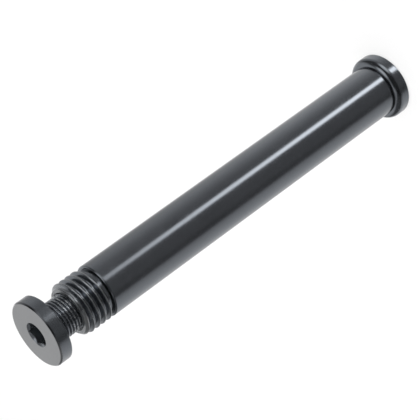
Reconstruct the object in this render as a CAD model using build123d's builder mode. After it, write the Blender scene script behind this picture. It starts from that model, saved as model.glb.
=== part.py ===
# Bicycle thru axle: a hollow flanged tube with a coarse end thread, and the lock bolt in that end.
# The axle stands on its flange: +Z runs from the flange's end face, at z = 0, to the bolt's face.
import os
from math import ceil, cos, radians, tan

from build123d import *

# Tube
shaft_diameter = 20.0
tube_length = 153.0  # from the flange to the threaded end
tube_wall = 4.0
flange_diameter = 25.0
flange_thickness = 6.0
end_edge_radius = 0.8

# Coarse thread that screws into the fork leg
leg_pitch = 2.5
leg_thread_length = 13.2  # from the tube's end to the shaft's shoulder
relief_width = 1.9
relief_depth = 1.4
shoulder_chamfer = 0.4
lead_in_length = 1.0
lead_in_depth = 1.0
leg_root_drop = 2.05  # on the -Y side the first root lies this far below the tube's end

# Lock bolt, whose head is as wide as the flange, and the bore that takes it
end_wall = 1.55  # metal between the relief and the bolt's bore
bolt_clearance = 0.05
head_thickness = 4.9
face_chamfer = 0.5
back_chamfer = 0.3
neck_length = 1.6
neck_depth = 0.8
shank_length = 20.0
shank_chamfer = 0.8
bolt_gap = 9.2  # from the tube's end to the head's back, as the bolt stands
seating_room = 6.0  # bore left under the shank when the head meets the tube
mouth_chamfer = 0.5

# Hex sockets, one in the bolt's face and one in the flange's end face
hex_across_flats = 8.0
bolt_socket_depth = 6.5
drive_socket_depth = 9.0
drive_web = 4.0  # metal between the drive socket and the bore's tip
socket_mouth = 0.2  # how far each socket's conical mouth reaches beyond the hex's corners
drill_half_angle = 59.0

# Proportions of a 60 degree thread, as shares of its pitch
ROOT_FLAT = 0.25
THREAD_DEPTH = 0.5413
CUT_MARGIN = 0.05
FLANK_ANGLE = 30.0

shaft_radius = shaft_diameter / 2
flange_radius = flange_diameter / 2
flange_step = flange_radius - shaft_radius
tube_end = flange_thickness + tube_length
shoulder = tube_end - leg_thread_length
relief_radius = shaft_radius - relief_depth
bore_radius = shaft_radius - tube_wall
bolt_bore_radius = relief_radius - end_wall
bolt_bore_bottom = tube_end - shank_length - seating_room
bore_tip = drive_socket_depth + drive_web
drill_slope = 1 / tan(radians(drill_half_angle))
mouth_cone = hex_across_flats / 2 / cos(radians(30)) + socket_mouth

bolt_radius = bolt_bore_radius - bolt_clearance
neck_radius = bolt_radius - neck_depth
head_radius = flange_radius
head_back = tube_end + bolt_gap
bolt_face = head_back + head_thickness
shank_end = head_back - shank_length

root_radius = shaft_radius - THREAD_DEPTH * leg_pitch
mouth_radius = shaft_radius + CUT_MARGIN * leg_pitch
half_root = ROOT_FLAT * leg_pitch / 2
half_mouth = half_root + (mouth_radius - root_radius) * tan(radians(FLANK_ANGLE))
thread_start = shoulder + relief_width / 2
start_angle = 360 * (thread_start - tube_end + leg_root_drop) / leg_pitch - 90
turn_count = ceil((tube_end + leg_pitch / 2 - thread_start) / leg_pitch)

# One right-hand turn of the coarse thread's groove, starting on +X at z = 0
with BuildPart() as groove_turn:
    with BuildLine() as helix:
        Helix(leg_pitch, leg_pitch, root_radius)
    with BuildSketch(Plane.XZ):
        with BuildLine():
            Polyline(
                (root_radius, -half_root),
                (mouth_radius, -half_mouth),
                (mouth_radius, half_mouth),
                (root_radius, half_root),
                close=True,
            )
        make_face()
    sweep(path=helix.line, is_frenet=True)

with BuildPart() as axle_tube:
    # Flange with its full round, shaft, relief and lead-in, turned from one half-section
    with BuildSketch(Plane.XZ):
        with BuildLine():
            CenterArc((shaft_radius, flange_thickness - flange_step), flange_step, 0, 90)
            Polyline(
                (shaft_radius, flange_thickness),
                (shaft_radius, shoulder - shoulder_chamfer),
                (shaft_radius - shoulder_chamfer, shoulder),
                (relief_radius, shoulder),
                (relief_radius, shoulder + relief_width),
                (shaft_radius, shoulder + relief_width),
                (shaft_radius, tube_end - lead_in_length),
                (shaft_radius - lead_in_depth, tube_end),
                (0, tube_end),
                (0, 0),
                (flange_radius, 0),
                (flange_radius, flange_thickness - flange_step),
            )
        make_face()
    revolve(axis=Axis.Z)
    rims = axle_tube.edges().filter_by(GeomType.CIRCLE).group_by(SortBy.RADIUS)[-1].sort_by(Axis.Z)
    fillet(rims[0], end_edge_radius)
    # Bore: a drilled hole with a pointed end, widened for the bolt and eased at its mouth
    with BuildSketch(Plane.XZ):
        with BuildLine():
            Polyline(
                (0, bore_tip),
                (bore_radius, bore_tip + bore_radius * drill_slope),
                (bore_radius, bolt_bore_bottom - (bolt_bore_radius - bore_radius) * drill_slope),
                (bolt_bore_radius, bolt_bore_bottom),
                (bolt_bore_radius, tube_end - mouth_chamfer),
                (bolt_bore_radius + mouth_chamfer, tube_end),
                (0, tube_end),
                close=True,
            )
        make_face()
    revolve(axis=Axis.Z, mode=Mode.SUBTRACT)
    # Drive socket with its conical mouth in the flange's end face
    with BuildSketch():
        RegularPolygon(hex_across_flats / 2, 6, major_radius=False)
    extrude(amount=drive_socket_depth, mode=Mode.SUBTRACT)
    Cone(mouth_cone, 0, mouth_cone, align=(Align.CENTER, Align.CENTER, Align.MIN), mode=Mode.SUBTRACT)
    # Coarse thread, cut turn by turn from the relief out through the lead-in
    for turn in range(turn_count):
        with Locations(Location((0, 0, thread_start + turn * leg_pitch), (0, 0, start_angle))):
            add(groove_turn.part, mode=Mode.SUBTRACT)
axle_tube.part.label = "axle_tube"

with BuildPart() as lock_bolt:
    # Head, neck and shank, turned from one half-section; the shank is as wide as its thread's crests
    with BuildSketch(Plane.XZ):
        with BuildLine():
            Polyline(
                (0, shank_end),
                (bolt_radius - shank_chamfer, shank_end),
                (bolt_radius, shank_end + shank_chamfer),
                (bolt_radius, head_back - neck_length),
                (neck_radius, head_back - neck_length),
                (neck_radius, head_back),
                (head_radius - back_chamfer, head_back),
                (head_radius, head_back + back_chamfer),
                (head_radius, bolt_face - face_chamfer),
                (head_radius - face_chamfer, bolt_face),
                (0, bolt_face),
                close=True,
            )
        make_face()
    revolve(axis=Axis.Z)
    # Socket for the hex key, with its conical mouth, in the bolt's face
    with BuildSketch(Plane.XY.offset(bolt_face)):
        RegularPolygon(hex_across_flats / 2, 6, major_radius=False)
    extrude(amount=-bolt_socket_depth, mode=Mode.SUBTRACT)
    with Locations((0, 0, bolt_face)):
        Cone(0, mouth_cone, mouth_cone, align=(Align.CENTER, Align.CENTER, Align.MAX), mode=Mode.SUBTRACT)
lock_bolt.part.label = "lock_bolt"

os.makedirs("parts", exist_ok=True)
export_step(axle_tube.part, "parts/axle_tube.step")
export_step(lock_bolt.part, "parts/lock_bolt.step")
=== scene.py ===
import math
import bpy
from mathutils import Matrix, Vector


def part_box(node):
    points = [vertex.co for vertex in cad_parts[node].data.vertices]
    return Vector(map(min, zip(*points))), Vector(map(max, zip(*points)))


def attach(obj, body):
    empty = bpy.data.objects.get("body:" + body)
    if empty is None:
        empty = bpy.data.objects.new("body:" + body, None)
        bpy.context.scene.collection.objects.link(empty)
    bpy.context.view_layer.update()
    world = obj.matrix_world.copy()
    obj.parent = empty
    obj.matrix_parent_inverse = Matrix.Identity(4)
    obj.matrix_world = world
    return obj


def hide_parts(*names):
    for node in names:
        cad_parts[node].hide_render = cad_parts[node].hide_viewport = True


bl_info = {
    "name": "Thru Axle",
    "version": (1, 0, 0),
    "blender": (4, 5, 0),
    "location": "3D View > Sidebar > Thru Axle",
    "description": "Turns and threads the thru axle's tube and lock bolt, and sets up their studio",
    "category": "Object",
}

import bmesh
import bpy
from bpy.props import FloatProperty, FloatVectorProperty, IntProperty, PointerProperty
from mathutils import Euler, Matrix, Vector

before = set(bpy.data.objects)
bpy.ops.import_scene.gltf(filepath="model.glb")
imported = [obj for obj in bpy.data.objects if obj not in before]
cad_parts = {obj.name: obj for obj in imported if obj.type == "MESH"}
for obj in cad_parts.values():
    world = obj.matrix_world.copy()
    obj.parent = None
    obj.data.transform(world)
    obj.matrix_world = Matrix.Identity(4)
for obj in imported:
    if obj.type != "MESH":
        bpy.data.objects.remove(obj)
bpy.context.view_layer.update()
tube_low, tube_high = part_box("axle_tube")
bolt_low, bolt_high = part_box("lock_bolt")

MERGE_DISTANCE = 2e-6
SAME_COLUMN = 1e-8
SHARP_ANGLE = math.radians(32)

# Proportions of the 60 degree threads: depths and the crests' rounding are shares of the pitch
HALF_FLANK = math.tan(math.radians(30))
COARSE_DEPTH = 0.5413
FINE_DEPTH = 0.45
CREST_EASE = 0.06
ROW_STEP = 0.1

# Skins that the finishes' masks take in, in metres, and the depth of the finest relief
SKIN = 1e-4
FACE_SKIN = 6e-5
SOFT_EDGE = 3e-5
CREST_FROM = 3e-4
CREST_FULL = 5e-5
FINE_RELIEF = 2e-6

# How much less each place looks like bare metal
SOCKET_MATT = 0.3
END_MATT = 0.45
LEAD_IN_MATT = 0.06
SHANK_MATT = 0.1

# Wear and painted light: the X between which the painted highlight on the -X side sets in, shares of the
# worn colour, the heights up to which the bolt's crests are scratched and carry painted glints, and the
# noise that makes the scratches and the face's grain
LEAD_IN_HIGHLIGHT_X = (-0.006, -0.001)
EDGE_HIGHLIGHT_X = (-0.009, -0.005)
LEAD_IN_WEAR = 0.7
LEAD_IN_PAINTED_HIGHLIGHT = 1.3
SCRATCHES_AND_GLINTS_UP_TO = (0.162, 0.164)
SCRATCH_SCALE = 1700
SCRATCH_LEVEL = (0.47, 0.6)
GRAIN_SCALE = 5200

# How far the tool's lines, the drifts of tone, and wear with the painted highlights change the roughness
LINE_ROUGHNESS = 0.04
DRIFT_ROUGHNESS = 0.08
WORN_ROUGHNESS = 0.2

# Floor: its edge, the sweep up into the backdrop, and how far it lies below the flange's end face
FLOOR_RADIUS = 3.0
SWEEP_RADIUS = 1.0
FLOOR_DROP = 2e-5

# Light that the tent's wall gives off, by azimuth in degrees from the front (-Y) towards -X
TENT_WALL = [
    (180, 0.84),
    (150, 0.92),
    (126, 1.19),
    (100, 1.1),
    (82, 0.94),
    (71, 0.7),
    (63, 0.2),
    (50, 0.17),
    (38, 0.27),
    (0, 0.27),
    (-44, 0.32),
    (-60, 0.46),
    (-84, 0.75),
    (-106, 1.01),
    (-124, 0.88),
    (-140, 0.8),
    (-156, 0.92),
    (-180, 0.84),
]


def towards(azimuth, elevation):
    """The direction at an azimuth from the front (-Y) towards -X and at an elevation, both in degrees."""
    return Euler((math.radians(-elevation), 0, math.radians(-azimuth))).to_matrix() @ Vector((0, -1, 0))


# Where the tent's sheet and lamps lie
FRONT = towards(0, 0)
REAR_SHEET = towards(-165, 28)
NEAR_LAMP = towards(-40, 0)
HIGH_LAMP = towards(-66, 66)
FAR_LAMP_FRONT = towards(56, 56)
FAR_LAMP_REAR = towards(140, 53)

# How far each reaches, as cosines of the angle off its middle; the far lamp's width is a sine
SHEET_REACH = (0.62, 0.88)
NEAR_REACH = (0.866, 0.996)
HIGH_REACH = (0.925, 0.992)
FAR_REACH = (0.87, 0.94)
FAR_WIDTH = (0.06, 0.16)

# Sines of the elevations between which parts of the tent fade, and the light that is left there
WALL_TOP = (-0.14, 0.05)
WALL_ABOVE = 0.18
SIDE_RISE = (-0.62, -0.42)
SIDE_GROWTH = (0.25, -0.2)
CEILING_RISE = (0.88, 0.95)
CEILING_FRONT = 0.2
NEAR_FOOT = (-0.36, -0.28)
STRIP_RISE = (-0.62, -0.36)
STRIP_TOP = 0.17
STRIP_END = (-0.425, -0.4)

# X between which the brighter side sets in, depth over which the ceiling fades towards the front, and the
# azimuths between which the strip fades in and out
SIDE_X = (0.2, 0.6)
CEILING_FADE = (-0.02, 0.12)
STRIP_IN = (-12, -17)
STRIP_OUT = (-27, -32)


def length(name, description, default):
    """A length property in metres, shown in the scene's units."""
    return FloatProperty(
        name=name,
        description=description,
        default=default,
        min=0,
        precision=5,
        unit="LENGTH",
        subtype="DISTANCE",
    )


def angle(name, description, degrees):
    """An angle property, given in degrees."""
    return FloatProperty(name=name, description=description, default=math.radians(degrees), subtype="ANGLE")


def light(name, description, default):
    """A property for the light that one part of the tent gives off."""
    return FloatProperty(name=name, description=description, default=default, min=0, max=12)


def colour(name, description, default):
    """A colour property."""
    return FloatVectorProperty(
        name=name, description=description, default=default, size=3, min=0, max=1, subtype="COLOR"
    )


def share(name, description, default):
    """A property that runs from none to all."""
    return FloatProperty(name=name, description=description, default=default, min=0, max=1, subtype="FACTOR")


class AxleTubeSizes(bpy.types.PropertyGroup):
    """Sizes of the flanged tube"""

    end_height: length("End", "Height of the threaded end", tube_high[2])
    shaft_radius: length("Shaft radius", "Radius of the smooth shaft", 0.010)
    flange_radius: length("Flange radius", "Radius of the flange", tube_high[0])
    flange_thickness: length("Flange thickness", "Height of the flange with its full round", 0.006)
    end_edge: length("End edge", "Rounding of the flange's edge at its end face", 0.0008)
    pitch: length("Thread pitch", "Pitch of the coarse thread", 0.0025)
    thread_length: length("Thread length", "From the end to the shaft's shoulder", 0.01245)
    relief_width: length("Relief width", "Width of the groove at the shoulder", 0.0014)
    relief_depth: length("Relief depth", "Depth of the groove at the shoulder", 0.0014)
    shoulder_chamfer: length("Shoulder chamfer", "Chamfer on the shaft's shoulder", 0.0004)
    lead_in_length: length("Lead-in length", "Length of the cone on the thread's end", 0.0015)
    lead_in_depth: length("Lead-in depth", "Depth of the cone on the thread's end", 0.0014)
    root_drop: length("Root drop", "From the end to the first root on the -Y side", 0.0011)
    bore_radius: length("Bore radius", "Radius of the drilled hollow", 0.006)
    bore_tip: length("Bore tip", "Height of the drilled hollow's point", 0.013)
    drill_angle: angle("Drill angle", "Half angle of the drill's point", 59)
    bolt_bore_radius: length("Bolt bore radius", "Radius of the bore that takes the bolt", 0.00705)
    bolt_bore_depth: length("Bolt bore depth", "Depth of the bore that takes the bolt", 0.026)
    mouth_chamfer: length("Mouth chamfer", "Chamfer at the bolt bore's mouth", 0.0005)
    socket_depth: length("Drive socket depth", "Depth of the hex socket in the flange", 0.009)


class LockBoltSizes(bpy.types.PropertyGroup):
    """Sizes of the lock bolt"""

    face_height: length("Face", "Height of the bolt's face", bolt_high[2])
    shank_end: length("Shank end", "Height of the shank's lower end", bolt_low[2])
    head_radius: length("Head radius", "Radius of the head", bolt_high[0])
    head_thickness: length("Head thickness", "Thickness of the head", 0.0049)
    face_chamfer: length("Face chamfer", "Chamfer round the face", 0.0005)
    back_chamfer: length("Back chamfer", "Chamfer round the head's back", 0.0003)
    neck_length: length("Neck length", "Length of the neck under the head", 0.0016)
    neck_radius: length("Neck radius", "Radius of the neck", 0.0062)
    thread_radius: length("Thread radius", "Radius of the fine thread's crests", 0.007)
    pitch: length("Thread pitch", "Pitch of the fine thread", 0.00125)
    root_height: length("Root height", "Height of one root on the -Y side", 0.1605)
    shank_chamfer: length("Shank chamfer", "Cone at the shank's lower end", 0.0008)
    socket_depth: length("Socket depth", "Depth of the hex socket", 0.0065)


class FinishSettings(bpy.types.PropertyGroup):
    """Shared fineness, sockets and finishes"""

    columns: IntProperty(
        name="Columns", description="Columns round every turned form", default=144, min=48, max=240
    )
    across_flats: length("Across flats", "Hex key that the sockets take", 0.008)
    socket_mouth: length("Socket mouth", "How far a socket's cone reaches beyond the hex's corners", 0.0002)
    edge_ease: length("Edge ease", "Rounding of the shoulder's edges", 0.0001)
    anodise: colour("Anodise", "Black anodised metal", (0.132, 0.142, 0.156))
    anodise_dim: colour("Anodise, dim", "Darker drifts in the black", (0.114, 0.123, 0.136))
    # The worn colour also makes the painted highlights on the -X side of the lead-in and of the bolt's
    # chamfer, and the painted glints on the bolt's crests.
    worn: colour("Worn", "Crests and edges where the black has thinned", (0.30, 0.31, 0.32))
    # The bolt edge colour is painted shade: its near-black stands in for the dark that the chamfer reflects.
    edge: colour("Bolt edge", "Bare black chamfer round the bolt's face", (0.05, 0.053, 0.058))
    face: colour("Bolt face", "Blasted grey face of the bolt", (0.248, 0.252, 0.258))
    face_dim: colour("Bolt face, dim", "Darker grain on the bolt's face", (0.212, 0.216, 0.222))
    metal: share("Metal", "How far the black looks like bare metal", 0.96)
    gloss: share("Shaft roughness", "Roughness of the glossy black", 0.185)
    satin: share("Bolt roughness", "Roughness of the bolt's rim and shank", 0.2)
    blasted: share("Face roughness", "Roughness of the bolt's face", 0.42)


class StudioSettings(bpy.types.PropertyGroup):
    """Camera and light"""

    aim_height: length("Aim height", "Height of the point that the camera aims at", 0.09277)
    aim_side: FloatProperty(
        name="Aim side",
        description="Sideways place of that point",
        default=-0.00014,
        precision=5,
        unit="LENGTH",
    )
    distance: length("Distance", "From the camera to that point", 0.60916)
    elevation: angle("Elevation", "How far the camera looks down", 28.94)
    roll: angle("Roll", "Turn of the camera about its view", -125.88)
    lens: FloatProperty(name="Lens", description="Focal length in mm", default=148.9, min=20, max=400)
    floor: colour("Floor", "Pale floor and backdrop", (0.93, 0.93, 0.93))
    floor_white: share("Floor white", "How much of the floor is plain white, free of shadow", 0.75)
    lamp_power: FloatProperty(
        name="Lamp power", description="Power of the soft lamp overhead", default=14.0, min=0, unit="POWER"
    )
    sheet: light("Rear sheet", "Light from the sheet behind", 1.0)
    ceiling: light("Ceiling", "Light from the tent's ceiling", 1.1)
    strip: light("Strip", "Light from the narrow strip", 7.0)
    near: light("Near lamp", "Light from the lamp beside the strip", 2.4)
    high: light("High lamp", "Light from the small lamp high up", 2.0)
    across: light("Far lamp", "Light from the long lamp across", 0.55)


def chain(bm, points):
    """Join (radius, height) points with edges on the +X side of the axis."""
    corners = [bm.verts.new((radius, 0, height)) for radius, height in points]
    for first, second in zip(corners, corners[1:]):
        bm.edges.new((first, second))
    return corners


def ease(bm, corners, radius, segments):
    """Round some corners of a chain."""
    bmesh.ops.bevel(
        bm,
        geom=corners,
        offset=radius,
        offset_type="OFFSET",
        affect="VERTICES",
        segments=segments,
        profile=0.5,
        material=-1,
    )


def add_shell(bm, shell):
    """Move a separately made shell into the piece."""
    mesh = bpy.data.meshes.new("shell")
    shell.to_mesh(mesh)
    shell.free()
    bm.from_mesh(mesh)
    bpy.data.meshes.remove(mesh)


def turn(bm, points, columns, eased=()):
    """Turn a chain about the axis, with (corner, radius, segments) roundings made first."""
    shell = bmesh.new()
    corners = chain(shell, points)
    for index, radius, segments in eased:
        ease(shell, [corners[index]], radius, segments)
    bmesh.ops.spin(
        shell,
        geom=shell.verts[:] + shell.edges[:],
        cent=(0, 0, 0),
        axis=(0, 0, 1),
        angle=math.tau,
        steps=columns,
        use_merge=True,
    )
    add_shell(bm, shell)


def on_ring(point, radius, height, columns):
    """The place on a ring that lies at a point's own column."""
    step = math.tau / columns
    angle = step * round(math.atan2(point.y, point.x) / step)
    return Vector((radius * math.cos(angle), radius * math.sin(angle), height))


def trim(shell, excess, landing):
    """Cut a threaded shell at a limit: slide the nearest row onto it, then land what lies beyond."""
    slides = {}
    for edge in shell.edges:
        first, second = edge.verts
        if abs(first.co.x * second.co.y - first.co.y * second.co.x) > SAME_COLUMN:
            continue
        over_first = excess(first.co)
        over_second = excess(second.co)
        if over_first * over_second < 0:
            part = over_first / (over_first - over_second)
            nearer = first if part < 0.5 else second
            slides[nearer] = first.co.lerp(second.co, part)
    for vertex, place in slides.items():
        vertex.co = place
    for vertex in shell.verts:
        if vertex not in slides and excess(vertex.co) > 0:
            vertex.co = landing(vertex.co)


def one_pitch(root, crest, pitch, half_root):
    """One pitch of a thread, from root to root; the roots of an inner thread are the wider radius."""
    half_crest = half_root + abs(crest - root) * HALF_FLANK
    return [
        (root, 0),
        (root, half_root),
        (crest, half_crest),
        (crest, pitch - half_crest),
        (root, pitch - half_root),
        (root, pitch),
    ]


def screw(ridge, pitch, root_height, low, high, columns):
    """Screw a one-pitch chain up from below low to above high, with a root at root_height on the -Y side."""
    shell = bmesh.new()
    root = root_height + pitch / 4
    base = root - pitch * math.ceil((root - low) / pitch + 1.5)
    corners = chain(shell, [(radius, base + height) for radius, height in ridge])
    for corner in corners[1:-1]:
        ease(shell, [corner], CREST_EASE * pitch, 3)
    row = ROW_STEP * pitch
    long_edges = [edge for edge in shell.edges if edge.calc_length() > row]
    for edge in long_edges:
        cuts = round(edge.calc_length() / row) - 1
        bmesh.ops.subdivide_edges(shell, edges=[edge], cuts=max(cuts, 0))
    bmesh.ops.spin(
        shell,
        geom=shell.verts[:] + shell.edges[:],
        cent=(0, 0, 0),
        axis=(0, 0, 1),
        dvec=(0, 0, pitch / columns),
        angle=math.tau,
        steps=columns,
    )
    first_turn = shell.verts[:] + shell.edges[:] + shell.faces[:]
    for count in range(1, math.ceil((high - base) / pitch + 0.5)):
        copy = bmesh.ops.duplicate(shell, geom=first_turn)["geom"]
        moved = [item for item in copy if isinstance(item, bmesh.types.BMVert)]
        bmesh.ops.translate(shell, verts=moved, vec=(0, 0, count * pitch))
    bmesh.ops.remove_doubles(shell, verts=shell.verts, dist=MERGE_DISTANCE)
    return shell


def socket_rim(finish):
    """Radius of a hex socket's conical mouth."""
    return finish.across_flats / 2 / math.cos(math.radians(30)) + finish.socket_mouth


def hex_socket(bm, mouth, depth, columns, finish):
    """Sink a hex socket with a conical mouth into a face that ends at the socket's rim."""
    shell = bmesh.new()
    rim = socket_rim(finish)
    bmesh.ops.create_circle(shell, segments=columns, radius=rim, matrix=Matrix.Translation((0, 0, mouth)))
    cone = bmesh.ops.extrude_edge_only(shell, edges=shell.edges[:])["geom"]
    for vertex in cone:
        if isinstance(vertex, bmesh.types.BMVert):
            from_flat = math.atan2(vertex.co.y, vertex.co.x) % math.radians(60) - math.radians(30)
            radius = finish.across_flats / 2 / math.cos(from_flat)
            vertex.co = on_ring(vertex.co, radius, mouth + math.copysign(rim - radius, depth), columns)
    lip = [item for item in cone if isinstance(item, bmesh.types.BMEdge) and item.is_boundary]
    wall = bmesh.ops.extrude_edge_only(shell, edges=lip)["geom"]
    for vertex in wall:
        if isinstance(vertex, bmesh.types.BMVert):
            vertex.co.z = mouth + depth
    foot = [item for item in wall if isinstance(item, bmesh.types.BMEdge) and item.is_boundary]
    bmesh.ops.contextual_create(shell, geom=foot)
    add_shell(bm, shell)


def finish_piece(bm, name, body, node, material):
    """Close the mesh, make it an object with its finish, and put it in the CAD node's place."""
    bmesh.ops.remove_doubles(bm, verts=bm.verts, dist=MERGE_DISTANCE)
    bmesh.ops.dissolve_degenerate(bm, edges=bm.edges, dist=MERGE_DISTANCE / 4)
    bmesh.ops.recalc_face_normals(bm, faces=bm.faces)
    gaps = sum(not edge.is_manifold for edge in bm.edges)
    if gaps:
        raise RuntimeError(f"{name} has {gaps} open edges")
    for face in bm.faces:
        face.smooth = True
    mesh = bpy.data.meshes.new(name)
    bm.to_mesh(mesh)
    bm.free()
    mesh.set_sharp_from_angle(angle=SHARP_ANGLE)
    mesh.materials.append(material)
    piece = bpy.data.objects.new(name, mesh)
    bpy.context.scene.collection.objects.link(piece)
    weight = piece.modifiers.new("face_weight", "WEIGHTED_NORMAL")
    weight.keep_sharp = True
    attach(piece, body)
    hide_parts(node)
    return piece


def put(tree, kind, **settings):
    """Add a node with some settings."""
    node = tree.nodes.new(kind)
    for name, value in settings.items():
        setattr(node, name, value)
    return node


def feed(tree, socket, source):
    """Give an input a link or a plain value."""
    if isinstance(source, bpy.types.NodeSocket):
        tree.links.new(source, socket)
    else:
        socket.default_value = source


def calc(tree, operation, first, second=0.0, third=0.0):
    """Add a Math node."""
    node = put(tree, "ShaderNodeMath", operation=operation)
    feed(tree, node.inputs[0], first)
    feed(tree, node.inputs[1], second)
    feed(tree, node.inputs[2], third)
    return node.outputs["Value"]


def ramp_between(tree, value, low, high, bottom=0.0, top=1.0):
    """Map a value smoothly from one range to another."""
    node = put(tree, "ShaderNodeMapRange", interpolation_type="SMOOTHSTEP")
    feed(tree, node.inputs["Value"], value)
    feed(tree, node.inputs["From Min"], low)
    feed(tree, node.inputs["From Max"], high)
    feed(tree, node.inputs["To Min"], bottom)
    feed(tree, node.inputs["To Max"], top)
    return node.outputs["Result"]


def blend_colour(tree, factor, first, second):
    """Mix two colours."""
    node = put(tree, "ShaderNodeMix", data_type="RGBA")
    feed(tree, node.inputs["Factor"], factor)
    feed(tree, node.inputs["A"], first if isinstance(first, bpy.types.NodeSocket) else (*first, 1))
    feed(tree, node.inputs["B"], second if isinstance(second, bpy.types.NodeSocket) else (*second, 1))
    return node.outputs["Result"]


def turned_surface():
    """The node group for turned metal: where a point lies, the tool's fine lines and slow drifts of tone."""
    group = bpy.data.node_groups.get("turned_surface")
    if group:
        return group
    group = bpy.data.node_groups.new("turned_surface", "ShaderNodeTree")
    interface = group.interface
    interface.new_socket("Line Scale", in_out="INPUT", socket_type="NodeSocketFloat").default_value = 9000
    interface.new_socket("Drift Scale", in_out="INPUT", socket_type="NodeSocketFloat").default_value = 120
    for name in ("Lines", "Drift", "Radius", "Height"):
        interface.new_socket(name, in_out="OUTPUT", socket_type="NodeSocketFloat")
    given = put(group, "NodeGroupInput")
    result = put(group, "NodeGroupOutput")
    place = put(group, "ShaderNodeTexCoord")
    parts = put(group, "ShaderNodeSeparateXYZ")
    group.links.new(place.outputs["Object"], parts.inputs[0])
    flat = put(group, "ShaderNodeCombineXYZ")
    group.links.new(parts.outputs["X"], flat.inputs["X"])
    group.links.new(parts.outputs["Y"], flat.inputs["Y"])
    span = put(group, "ShaderNodeVectorMath", operation="LENGTH")
    group.links.new(flat.outputs[0], span.inputs[0])
    radius = span.outputs["Value"]
    facing = put(group, "ShaderNodeSeparateXYZ")
    group.links.new(place.outputs["Normal"], facing.inputs[0])
    level = calc(group, "GREATER_THAN", calc(group, "ABSOLUTE", facing.outputs["Z"]), 0.8)
    along = put(group, "ShaderNodeMix", data_type="FLOAT")
    group.links.new(level, along.inputs["Factor"])
    group.links.new(parts.outputs["Z"], along.inputs["A"])
    group.links.new(radius, along.inputs["B"])
    lines = put(group, "ShaderNodeTexNoise", noise_dimensions="1D")
    step = calc(group, "MULTIPLY", along.outputs["Result"], given.outputs["Line Scale"])
    group.links.new(step, lines.inputs["W"])
    feed(group, lines.inputs["Scale"], 1.0)
    feed(group, lines.inputs["Detail"], 1.0)
    drift = put(group, "ShaderNodeTexNoise")
    group.links.new(place.outputs["Object"], drift.inputs["Vector"])
    group.links.new(given.outputs["Drift Scale"], drift.inputs["Scale"])
    feed(group, drift.inputs["Detail"], 3.0)
    group.links.new(lines.outputs["Fac"], result.inputs["Lines"])
    group.links.new(drift.outputs["Fac"], result.inputs["Drift"])
    group.links.new(radius, result.inputs["Radius"])
    group.links.new(parts.outputs["Z"], result.inputs["Height"])
    return group


def start_metal(name):
    """A metal material with the turned surface group placed in it."""
    material = bpy.data.materials.new(name)
    material.use_nodes = True
    tree = material.node_tree
    tree.nodes.clear()
    shader = put(tree, "ShaderNodeBsdfPrincipled")
    shader.inputs["Metallic"].default_value = bpy.context.scene.axle_finish.metal
    output = put(tree, "ShaderNodeOutputMaterial")
    tree.links.new(shader.outputs["BSDF"], output.inputs["Surface"])
    surface = put(tree, "ShaderNodeGroup", node_tree=turned_surface())
    return material, tree, shader, surface


def roughness_from(tree, base, surface, extra):
    """Roughness that follows the tool's lines, the drifts and a mask."""
    lines = calc(tree, "MULTIPLY", calc(tree, "SUBTRACT", surface.outputs["Lines"], 0.5), LINE_ROUGHNESS)
    drift = calc(tree, "MULTIPLY", calc(tree, "SUBTRACT", surface.outputs["Drift"], 0.5), DRIFT_ROUGHNESS)
    return calc(tree, "ADD", calc(tree, "ADD", base, extra), calc(tree, "ADD", lines, drift))


def bump_into(tree, shader, height):
    """Fine relief on the shader's normal."""
    bump = put(tree, "ShaderNodeBump")
    bump.inputs["Strength"].default_value = 0.1
    bump.inputs["Distance"].default_value = FINE_RELIEF
    tree.links.new(height, bump.inputs["Height"])
    tree.links.new(bump.outputs["Normal"], shader.inputs["Normal"])


def between(tree, value, low, high):
    """A mask for a value that lies between two limits."""
    return calc(
        tree,
        "MULTIPLY",
        ramp_between(tree, value, low - SOFT_EDGE, low),
        ramp_between(tree, value, high, high + SOFT_EDGE, 1.0, 0.0),
    )


def inside_socket(tree, surface, finish, low, high):
    """A mask for a hex socket's walls and floor between two heights."""
    within = between(tree, surface.outputs["Radius"], -SKIN, socket_rim(finish) - FACE_SKIN)
    return calc(tree, "MULTIPLY", within, between(tree, surface.outputs["Height"], low, high))


def crests(tree, surface, radius):
    """A mask for the crests of an outer thread of a radius."""
    return ramp_between(tree, surface.outputs["Radius"], radius - CREST_FROM, radius - CREST_FULL)


def make_matt(tree, shader, finish, *places):
    """Where the black is matt it looks less like bare metal; each place is a mask and a share."""
    metal = finish.metal
    for mask, matt in places:
        metal = calc(tree, "MULTIPLY_ADD", mask, -matt, metal)
    tree.links.new(metal, shader.inputs["Metallic"])


def painted_highlight_side(tree, outer, inner):
    """A mask for the -X side, where the colour carries a painted highlight."""
    place = put(tree, "ShaderNodeTexCoord")
    parts = put(tree, "ShaderNodeSeparateXYZ")
    tree.links.new(place.outputs["Object"], parts.inputs[0])
    return ramp_between(tree, parts.outputs["X"], outer, inner, 1.0, 0.0)


def specks(tree, scale):
    """Fine noise on the piece's own coordinates."""
    place = put(tree, "ShaderNodeTexCoord")
    noise = put(tree, "ShaderNodeTexNoise")
    tree.links.new(place.outputs["Object"], noise.inputs["Vector"])
    noise.inputs["Scale"].default_value = scale
    noise.inputs["Detail"].default_value = 2
    return noise.outputs["Fac"]


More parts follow.
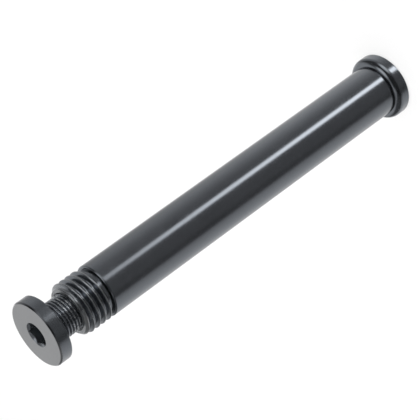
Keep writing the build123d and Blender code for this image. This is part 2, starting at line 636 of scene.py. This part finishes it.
def glossy_black(sizes, finish):
    """Black anodised tube, a little worn on the crests of its coarse thread and at its end, with a painted
    highlight on the lead-in's -X side.
    """
    material, tree, shader, surface = start_metal("glossy_black")
    black = blend_colour(tree, surface.outputs["Drift"], finish.anodise_dim, finish.anodise)
    height = surface.outputs["Height"]
    drift = surface.outputs["Drift"]
    end = sizes.end_height
    shoulder = end - sizes.thread_length

    # Rubbed crests, end face and lead-in, with a painted highlight in the worn colour on the lead-in's -X
    # side
    threaded = ramp_between(tree, height, shoulder, shoulder + SKIN)
    crest = calc(tree, "MULTIPLY", crests(tree, surface, sizes.shaft_radius), threaded)
    rub_and_highlight = calc(tree, "MULTIPLY", crest, drift)
    end_face = between(tree, height, end - SKIN, end + SKIN)
    bore = sizes.bolt_bore_radius
    outside_bore = ramp_between(tree, surface.outputs["Radius"], bore, bore + SKIN)
    lead_in = between(tree, height, end - sizes.lead_in_length, end - SKIN)
    lead_in = calc(tree, "MULTIPLY", lead_in, outside_bore)
    # Painted highlight: more of the worn colour on the lead-in's -X side
    lead_in_wear_and_highlight = calc(tree, "MULTIPLY_ADD", painted_highlight_side(tree, *LEAD_IN_HIGHLIGHT_X), LEAD_IN_PAINTED_HIGHLIGHT, LEAD_IN_WEAR)
    ends = calc(tree, "MULTIPLY_ADD", lead_in, lead_in_wear_and_highlight, end_face)
    rub_and_highlight = calc(tree, "MINIMUM", calc(tree, "MULTIPLY_ADD", ends, drift, rub_and_highlight), 1.0)
    tree.links.new(blend_colour(tree, rub_and_highlight, black, finish.worn), shader.inputs["Base Color"])

    in_socket = inside_socket(tree, surface, finish, SKIN, sizes.socket_depth + SKIN)
    matt_places = (in_socket, SOCKET_MATT), (end_face, END_MATT), (lead_in, LEAD_IN_MATT)
    make_matt(tree, shader, finish, *matt_places)
    roughness = roughness_from(tree, finish.gloss, surface, calc(tree, "MULTIPLY", rub_and_highlight, WORN_ROUGHNESS))
    tree.links.new(roughness, shader.inputs["Roughness"])
    bump_into(tree, shader, surface.outputs["Lines"])
    return material


def satin_black(sizes, finish):
    """Black anodised bolt with a blasted grey face, painted shade on the face's chamfer, a painted highlight
    on that chamfer's -X side and painted glints on its scratched crests.
    """
    material, tree, shader, surface = start_metal("satin_black")
    black = blend_colour(tree, surface.outputs["Drift"], finish.anodise_dim, finish.anodise)
    height = surface.outputs["Height"]
    radius = surface.outputs["Radius"]
    face = sizes.face_height
    in_socket = inside_socket(tree, surface, finish, face - 1.1 * sizes.socket_depth, face - FACE_SKIN)
    shank = between(tree, height, 0.0, face - sizes.head_thickness - SKIN)
    make_matt(tree, shader, finish, (in_socket, SOCKET_MATT), (shank, SHANK_MATT))

    # Chamfer round the face: painted shade in the near-black edge colour, with a painted highlight in the
    # worn colour on its -X side
    edge = calc(
        tree,
        "MULTIPLY",
        between(tree, radius, sizes.head_radius - sizes.face_chamfer, sizes.head_radius),
        between(tree, height, face - sizes.face_chamfer, face - FACE_SKIN),
    )
    rub_and_highlight = painted_highlight_side(tree, *EDGE_HIGHLIGHT_X)
    black = blend_colour(tree, edge, black, blend_colour(tree, rub_and_highlight, finish.edge, finish.worn))

    # Crests scratched where the bolt screws into the tube; the scratches also stand in for glints as painted
    # highlights
    screwed = ramp_between(tree, height, *SCRATCHES_AND_GLINTS_UP_TO, 1.0, 0.0)
    screwed = calc(tree, "MULTIPLY", crests(tree, surface, sizes.thread_radius), screwed)
    scratches_and_glints = ramp_between(tree, specks(tree, SCRATCH_SCALE), *SCRATCH_LEVEL)
    scratches_and_glints = calc(tree, "MULTIPLY", screwed, scratches_and_glints)
    black = blend_colour(tree, scratches_and_glints, black, finish.worn)

    # Blasted face
    grain = specks(tree, GRAIN_SCALE)
    grey = blend_colour(tree, grain, finish.face_dim, finish.face)
    top = ramp_between(tree, height, face - FACE_SKIN, face - SOFT_EDGE)
    tree.links.new(blend_colour(tree, top, black, grey), shader.inputs["Base Color"])
    rougher = calc(tree, "MULTIPLY", top, finish.blasted - finish.satin)
    tree.links.new(roughness_from(tree, finish.satin, surface, rougher), shader.inputs["Roughness"])
    relief = calc(tree, "ADD", surface.outputs["Lines"], calc(tree, "MULTIPLY", top, grain))
    bump_into(tree, shader, relief)
    return material


class BuildAxleTube(bpy.types.Operator):
    """Turn, thread and bore the flanged tube"""

    bl_idname = "thru_axle.tube"
    bl_label = "Build Axle Tube"

    def execute(self, context):
        sizes = context.scene.axle_tube
        finish = context.scene.axle_finish
        columns = finish.columns
        end = sizes.end_height
        shoulder = end - sizes.thread_length
        wall = shoulder + sizes.relief_width
        relief = sizes.shaft_radius - sizes.relief_depth
        tip = sizes.shaft_radius - sizes.lead_in_depth
        slope = sizes.lead_in_depth / sizes.lead_in_length
        mouth = sizes.bolt_bore_radius + sizes.mouth_chamfer
        bm = bmesh.new()

        # Relief, shoulder, shaft and flange
        turn(
            bm,
            [
                (relief, wall),
                (relief, shoulder),
                (sizes.shaft_radius - sizes.shoulder_chamfer, shoulder),
                (sizes.shaft_radius, shoulder - sizes.shoulder_chamfer),
                (sizes.shaft_radius, sizes.flange_thickness),
                (sizes.flange_radius, sizes.flange_thickness),
                (sizes.flange_radius, 0),
                (socket_rim(finish), 0),
            ],
            columns,
            [
                (2, finish.edge_ease, 3),
                (3, finish.edge_ease, 3),
                (5, sizes.flange_radius - sizes.shaft_radius, 16),
                (6, sizes.end_edge, 8),
            ],
        )
        hex_socket(bm, 0, sizes.socket_depth, columns, finish)

        # Coarse thread, cut back to the relief's wall and the lead-in cone
        pitch = sizes.pitch
        root = sizes.shaft_radius - COARSE_DEPTH * pitch
        ridge = one_pitch(root, sizes.shaft_radius, pitch, pitch / 8)
        coarse = screw(ridge, pitch, end - sizes.root_drop, wall, end, columns)

        def cone(point):
            return tip + slope * (end - point.z)

        trim(
            coarse,
            lambda point: point.xy.length - cone(point),
            lambda point: on_ring(point, cone(point), point.z, columns),
        )
        trim(coarse, lambda point: point.z - end, lambda point: on_ring(point, mouth, end, columns))
        trim(coarse, lambda point: wall - point.z, lambda point: on_ring(point, relief, wall, columns))
        add_shell(bm, coarse)

        # Fine thread in the bore, which takes the bolt
        bolt = context.scene.lock_bolt
        fine = bolt.pitch
        land = sizes.bolt_bore_radius
        thread_foot = end - sizes.bolt_bore_depth + fine
        ridge = one_pitch(mouth, land, fine, fine / 8)
        nut = screw(ridge, fine, bolt.root_height + fine / 2, thread_foot, end, columns)

        def funnel(point):
            return mouth - (end - point.z)

        trim(
            nut,
            lambda point: funnel(point) - point.xy.length,
            lambda point: on_ring(point, funnel(point), point.z, columns),
        )
        trim(nut, lambda point: point.z - end, lambda point: on_ring(point, mouth, end, columns))
        trim(
            nut,
            lambda point: thread_foot - point.z,
            lambda point: on_ring(point, land, thread_foot, columns),
        )
        add_shell(bm, nut)

        # Drilled hollow with its pointed end
        drill = 1 / math.tan(sizes.drill_angle)
        bore_step = end - sizes.bolt_bore_depth
        turn(
            bm,
            [
                (land, thread_foot),
                (land, bore_step),
                (sizes.bore_radius, bore_step - (land - sizes.bore_radius) * drill),
                (sizes.bore_radius, sizes.bore_tip + sizes.bore_radius * drill),
                (0, sizes.bore_tip),
            ],
            columns,
        )
        finish_piece(bm, "axle_tube_finish", "axle", "axle_tube", glossy_black(sizes, finish))
        return {"FINISHED"}


class BuildLockBolt(bpy.types.Operator):
    """Turn and thread the lock bolt"""

    bl_idname = "thru_axle.bolt"
    bl_label = "Build Lock Bolt"

    def execute(self, context):
        sizes = context.scene.lock_bolt
        finish = context.scene.axle_finish
        columns = finish.columns
        face = sizes.face_height
        back = face - sizes.head_thickness
        neck = back - sizes.neck_length
        foot = sizes.shank_end
        foot_radius = sizes.thread_radius - sizes.shank_chamfer
        bm = bmesh.new()

        # Neck, head and face
        turn(
            bm,
            [
                (sizes.neck_radius, neck),
                (sizes.neck_radius, back),
                (sizes.head_radius - sizes.back_chamfer, back),
                (sizes.head_radius, back + sizes.back_chamfer),
                (sizes.head_radius, face - sizes.face_chamfer),
                (sizes.head_radius - sizes.face_chamfer, face),
                (socket_rim(finish), face),
            ],
            columns,
        )
        hex_socket(bm, face, -sizes.socket_depth, columns, finish)

        # Fine thread between the shank's cone and the neck
        pitch = sizes.pitch
        root = sizes.thread_radius - FINE_DEPTH * pitch
        ridge = one_pitch(root, sizes.thread_radius, pitch, pitch / 16)
        thread = screw(ridge, pitch, sizes.root_height, foot, neck, columns)

        def cone(point):
            return foot_radius + (point.z - foot)

        trim(
            thread,
            lambda point: point.xy.length - cone(point),
            lambda point: on_ring(point, cone(point), point.z, columns),
        )
        trim(thread, lambda point: foot - point.z, lambda point: on_ring(point, foot_radius, foot, columns))
        trim(
            thread,
            lambda point: point.z - neck,
            lambda point: on_ring(point, sizes.neck_radius, neck, columns),
        )
        add_shell(bm, thread)
        turn(bm, [(foot_radius, foot), (0, foot)], columns)
        finish_piece(bm, "lock_bolt_finish", "bolt", "lock_bolt", satin_black(sizes, finish))
        return {"FINISHED"}


class SetAxleStage(bpy.types.Operator):
    """Set the floor, the light and the camera"""

    bl_idname = "thru_axle.stage"
    bl_label = "Set Stage"

    def execute(self, context):
        scene = context.scene
        studio = scene.axle_studio
        scene.view_settings.view_transform = "Standard"
        self.floor(scene, studio)
        self.tent(scene, studio)
        self.lamp(scene, studio)
        self.camera(scene, studio)
        return {"FINISHED"}

    def floor(self, scene, studio):
        """A floor that sweeps up into a round backdrop, kept out of the metal's reflections."""
        bm = bmesh.new()
        corners = chain(bm, [(0, -FLOOR_DROP), (FLOOR_RADIUS, -FLOOR_DROP), (FLOOR_RADIUS, FLOOR_RADIUS)])
        ease(bm, [corners[1]], SWEEP_RADIUS, 10)
        bmesh.ops.spin(
            bm,
            geom=bm.verts[:] + bm.edges[:],
            cent=(0, 0, 0),
            axis=(0, 0, 1),
            angle=math.tau,
            steps=96,
            use_merge=True,
        )
        bmesh.ops.remove_doubles(bm, verts=bm.verts, dist=FLOOR_DROP / 2)
        for face in bm.faces:
            face.smooth = True
        mesh = bpy.data.meshes.new("floor_sweep")
        bm.to_mesh(mesh)
        bm.free()
        mesh.materials.append(self.floor_white(studio))
        floor = bpy.data.objects.new("floor_sweep", mesh)
        scene.collection.objects.link(floor)
        floor.visible_glossy = False
        floor.visible_shadow = False

    def floor_white(self, studio):
        """White that the camera sees as it is, with the object's shadow laid thinly over it."""
        material = bpy.data.materials.new("floor_white")
        material.use_nodes = True
        tree = material.node_tree
        tree.nodes.clear()
        matt = put(tree, "ShaderNodeBsdfDiffuse")
        matt.inputs["Color"].default_value = (*studio.floor, 1)
        white = put(tree, "ShaderNodeEmission")
        white.inputs["Strength"].default_value = 1.0
        path = put(tree, "ShaderNodeLightPath")
        mirrored = calc(tree, "MAXIMUM", path.outputs["Is Glossy Ray"], path.outputs["Is Transmission Ray"])
        seen = calc(tree, "MAXIMUM", path.outputs["Is Camera Ray"], mirrored)
        both = put(tree, "ShaderNodeMixShader")
        tree.links.new(calc(tree, "MULTIPLY", seen, studio.floor_white), both.inputs["Fac"])
        tree.links.new(matt.outputs["BSDF"], both.inputs[1])
        tree.links.new(white.outputs["Emission"], both.inputs[2])
        output = put(tree, "ShaderNodeOutputMaterial")
        tree.links.new(both.outputs["Shader"], output.inputs["Surface"])
        return material

    def tent(self, scene, studio):
        """A soft studio tent: a wall whose light changes round the object, a ceiling and a narrow strip."""
        world = bpy.data.worlds.new("studio_tent")
        scene.world = world
        world.use_nodes = True
        tree = world.node_tree
        tree.nodes.clear()
        place = put(tree, "ShaderNodeTexCoord")
        heading = put(tree, "ShaderNodeMapping")
        heading.inputs["Rotation"].default_value = (0, 0, math.radians(90))
        tree.links.new(place.outputs["Generated"], heading.inputs["Vector"])
        around = put(tree, "ShaderNodeTexGradient", gradient_type="RADIAL")
        tree.links.new(heading.outputs["Vector"], around.inputs["Vector"])
        parts = put(tree, "ShaderNodeSeparateXYZ")
        tree.links.new(place.outputs["Generated"], parts.inputs[0])
        rise = parts.outputs["Z"]

        wall = put(tree, "ShaderNodeValToRGB")
        tree.links.new(around.outputs["Fac"], wall.inputs["Fac"])
        stops = wall.color_ramp.elements
        for count, (azimuth, level) in enumerate(TENT_WALL):
            position = self.share_of_turn(azimuth)
            stop = stops[count] if count < 2 else stops.new(position)
            stop.position = position
            stop.color = (level, level, level, 1)

        # The wall is dim above the horizon all round, and on the +X side it grows brighter downwards
        above = ramp_between(tree, rise, *WALL_TOP, 1.0, WALL_ABOVE)
        lit_wall = calc(tree, "MULTIPLY", wall.outputs["Color"], above)
        side = ramp_between(tree, parts.outputs["X"], *SIDE_X)
        growth = ramp_between(tree, rise, *SIDE_RISE, *SIDE_GROWTH)
        lit_wall = calc(tree, "MULTIPLY", lit_wall, calc(tree, "MULTIPLY_ADD", side, growth, 1.0))

        # A large soft sheet behind the object, and a ceiling
        rear = self.faces(tree, place, REAR_SHEET)
        lit_wall = calc(tree, "ADD", lit_wall, ramp_between(tree, rear, *SHEET_REACH, 0.0, studio.sheet))
        mixed = put(tree, "ShaderNodeMix", data_type="FLOAT")
        rearward = ramp_between(tree, self.faces(tree, place, FRONT), *CEILING_FADE, 1.0, CEILING_FRONT)
        overhead = calc(tree, "MULTIPLY", ramp_between(tree, rise, *CEILING_RISE), rearward)
        tree.links.new(overhead, mixed.inputs["Factor"])
        tree.links.new(lit_wall, mixed.inputs["A"])
        mixed.inputs["B"].default_value = studio.ceiling

        # A narrow upright strip that grows dim towards its top
        turned = around.outputs["Fac"]
        strip_in = ramp_between(tree, turned, *map(self.share_of_turn, STRIP_IN))
        strip_out = ramp_between(tree, turned, *map(self.share_of_turn, STRIP_OUT), 1.0, 0.0)
        strip_fall = ramp_between(tree, rise, *STRIP_RISE, 1.0, STRIP_TOP)
        below = ramp_between(tree, rise, *STRIP_END, 1.0, 0.0)
        strip = calc(tree, "MULTIPLY", calc(tree, "MULTIPLY", strip_in, strip_out), strip_fall)
        strip = calc(tree, "MULTIPLY", calc(tree, "MULTIPLY", strip, below), studio.strip)

        # A soft lamp beside the strip, a small one high on the same side, and a long dim one across from it
        near = ramp_between(tree, self.faces(tree, place, NEAR_LAMP), *NEAR_REACH, 0.0, studio.near)
        near = calc(tree, "MULTIPLY", near, ramp_between(tree, rise, *NEAR_FOOT))
        high = ramp_between(tree, self.faces(tree, place, HIGH_LAMP), *HIGH_REACH, 0.0, studio.high)
        off_line = self.faces(tree, place, FAR_LAMP_FRONT.cross(FAR_LAMP_REAR).normalized())
        width = ramp_between(tree, calc(tree, "ABSOLUTE", off_line), *FAR_WIDTH, 1.0, 0.0)
        along = self.faces(tree, place, (FAR_LAMP_FRONT + FAR_LAMP_REAR).normalized())
        reach = ramp_between(tree, along, *FAR_REACH)
        across = calc(tree, "MULTIPLY", calc(tree, "MULTIPLY", width, reach), studio.across)
        lamps = calc(tree, "ADD", calc(tree, "ADD", strip, near), calc(tree, "ADD", high, across))

        light = put(tree, "ShaderNodeBackground")
        tree.links.new(calc(tree, "ADD", mixed.outputs["Result"], lamps), light.inputs["Color"])
        output = put(tree, "ShaderNodeOutputWorld")
        tree.links.new(light.outputs["Background"], output.inputs["Surface"])

    def share_of_turn(self, azimuth):
        """Where an azimuth lies on the radial gradient."""
        return 0.5 - azimuth / 360

    def faces(self, tree, place, direction):
        """How far a point of the tent lies in a direction."""
        node = put(tree, "ShaderNodeVectorMath", operation="DOT_PRODUCT")
        tree.links.new(place.outputs["Generated"], node.inputs[0])
        node.inputs[1].default_value = direction
        return node.outputs["Value"]

    def lamp(self, scene, studio):
        """One soft lamp overhead."""
        lamp = bpy.data.lights.new("soft_lamp", "AREA")
        lamp.shape = "DISK"
        lamp.size = 0.9
        lamp.energy = studio.lamp_power
        holder = bpy.data.objects.new("soft_lamp", lamp)
        holder.visible_glossy = False
        holder.location = (-0.15, 0.1, 1.4)
        holder.rotation_euler = (holder.location - Vector((0, 0, 0.08))).to_track_quat("Z", "Y").to_euler()
        scene.collection.objects.link(holder)

    def camera(self, scene, studio):
        """The camera at the photograph's place."""
        camera = bpy.data.cameras.new("camera")
        camera.lens = studio.lens
        camera.sensor_width = 36
        camera.clip_start = 0.01
        turned = Euler((math.radians(90) - studio.elevation, 0, 0)).to_matrix()
        turned = turned @ Matrix.Rotation(studio.roll, 3, "Z")
        aim = Vector((studio.aim_side, 0, studio.aim_height))
        holder = bpy.data.objects.new("camera", camera)
        holder.matrix_world = Matrix.Translation(aim + studio.distance * turned.col[2]) @ turned.to_4x4()
        scene.collection.objects.link(holder)
        scene.camera = holder


class ThruAxlePanel(bpy.types.Panel):
    """Lists the axle's pieces and its stage"""

    bl_idname = "VIEW3D_PT_thru_axle"
    bl_label = "Thru Axle"
    bl_space_type = "VIEW_3D"
    bl_region_type = "UI"
    bl_category = "Thru Axle"

    def draw(self, context):
        for operator, settings in STEPS:
            box = self.layout.box()
            box.operator(operator.bl_idname)
            group = getattr(context.scene, settings)
            for name in type(group).__annotations__:
                box.prop(group, name)
        box = self.layout.box()
        for name in FinishSettings.__annotations__:
            box.prop(context.scene.axle_finish, name)


GROUPS = {
    "axle_tube": AxleTubeSizes,
    "lock_bolt": LockBoltSizes,
    "axle_finish": FinishSettings,
    "axle_studio": StudioSettings,
}
STEPS = ((BuildAxleTube, "axle_tube"), (BuildLockBolt, "lock_bolt"), (SetAxleStage, "axle_studio"))
PANELS = (ThruAxlePanel,)


def register():
    for name, group in GROUPS.items():
        bpy.utils.register_class(group)
        setattr(bpy.types.Scene, name, PointerProperty(type=group))
    for operator, _ in STEPS:
        bpy.utils.register_class(operator)
    for panel in PANELS:
        bpy.utils.register_class(panel)


def unregister():
    for panel in reversed(PANELS):
        bpy.utils.unregister_class(panel)
    for operator, _ in reversed(STEPS):
        bpy.utils.unregister_class(operator)
    for name, group in reversed(GROUPS.items()):
        delattr(bpy.types.Scene, name)
        bpy.utils.unregister_class(group)


def main():
    register()
    bpy.ops.thru_axle.tube()
    bpy.ops.thru_axle.bolt()
    bpy.ops.thru_axle.stage()


if __name__ == "__main__":
    main()
